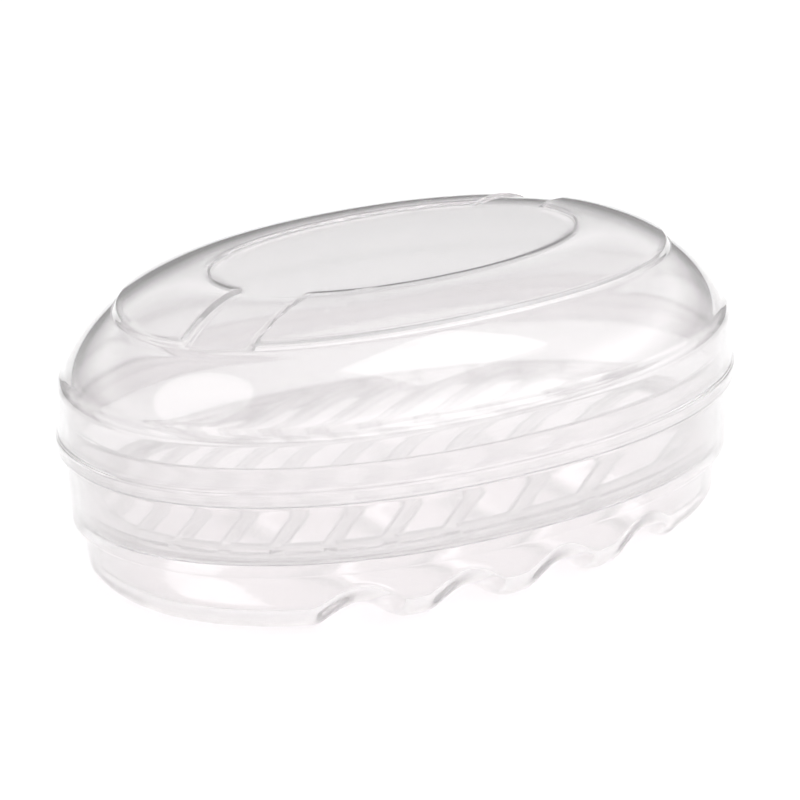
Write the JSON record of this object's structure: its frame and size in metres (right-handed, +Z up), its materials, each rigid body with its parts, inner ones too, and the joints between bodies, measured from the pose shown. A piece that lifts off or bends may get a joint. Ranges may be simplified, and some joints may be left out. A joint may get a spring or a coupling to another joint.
{
  "type": "soap dish",
  "caption": "Clear oval soap case: a dish with a waved bottom, a lift-out slotted drain tray and a domed push-on lid that sleeves over the dish's neck",
  "frame": {"origin": "centre of the bottom of the bounding box, on the surface that the dish stands on", "axes": "+X along the length of the oval, +Y across its width, +Z up, the way the lid and the tray lift off"},
  "size_m": [0.1158, 0.0818, 0.0503],
  "materials": {
    "clear_plastic": "clear, glossy, faintly violet-grey"
  },
  "bodies": {
    "dish": {"dish": "clear_plastic"},
    "tray": {"drain_tray": "clear_plastic"},
    "lid": {"lid": "clear_plastic"}
  },
  "joints": [
    {"name": "lid_lift", "type": "slide", "parent": "dish", "child": "lid", "axis": [0, 0, 1], "range_m": [0, 0.05]},
    {"name": "tray_lift", "type": "slide", "parent": "dish", "child": "tray", "axis": [0, 0, 1], "range_m": [0, 0.016]}
  ]
}
